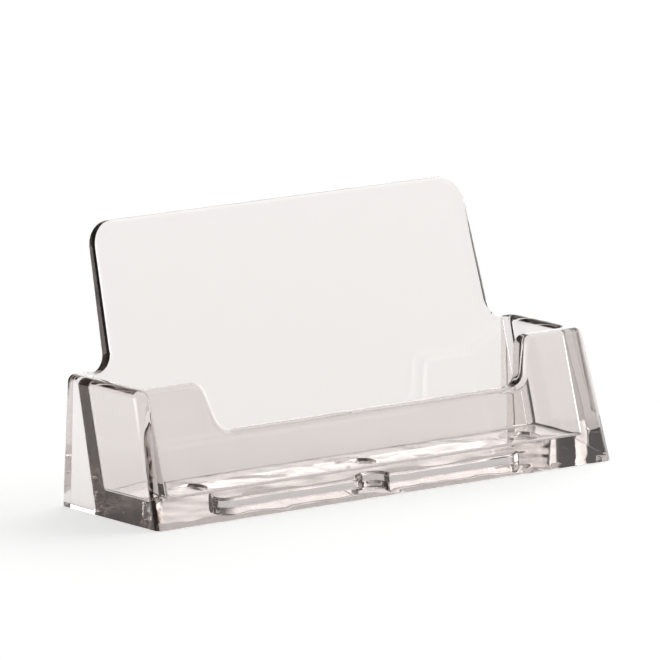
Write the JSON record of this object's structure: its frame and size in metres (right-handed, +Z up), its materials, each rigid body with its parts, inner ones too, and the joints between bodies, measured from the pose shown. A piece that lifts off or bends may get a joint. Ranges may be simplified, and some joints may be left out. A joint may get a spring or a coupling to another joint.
{
  "type": "business card holder",
  "caption": "Clear landscape desk holder for business cards: leaning back panel, low front lip with a wide finger dip, tapered end cheeks and a card floor.",
  "frame": {"origin": "centre of the footprint's box, on the surface that the holder stands on", "axes": "+X across the cards, towards the right end seen from the front; +Y from the front lip to the back panel; +Z up"},
  "size_m": [0.0996, 0.0334, 0.0475],
  "materials": {
    "clear_plastic": "clear moulded plastic, glossy"
  },
  "bodies": {
    "root": {"left_cheek": "clear_plastic", "right_cheek": "clear_plastic", "front_lip": "clear_plastic", "card_floor": "clear_plastic", "back_panel": "clear_plastic"}
  },
  "joints": []
}
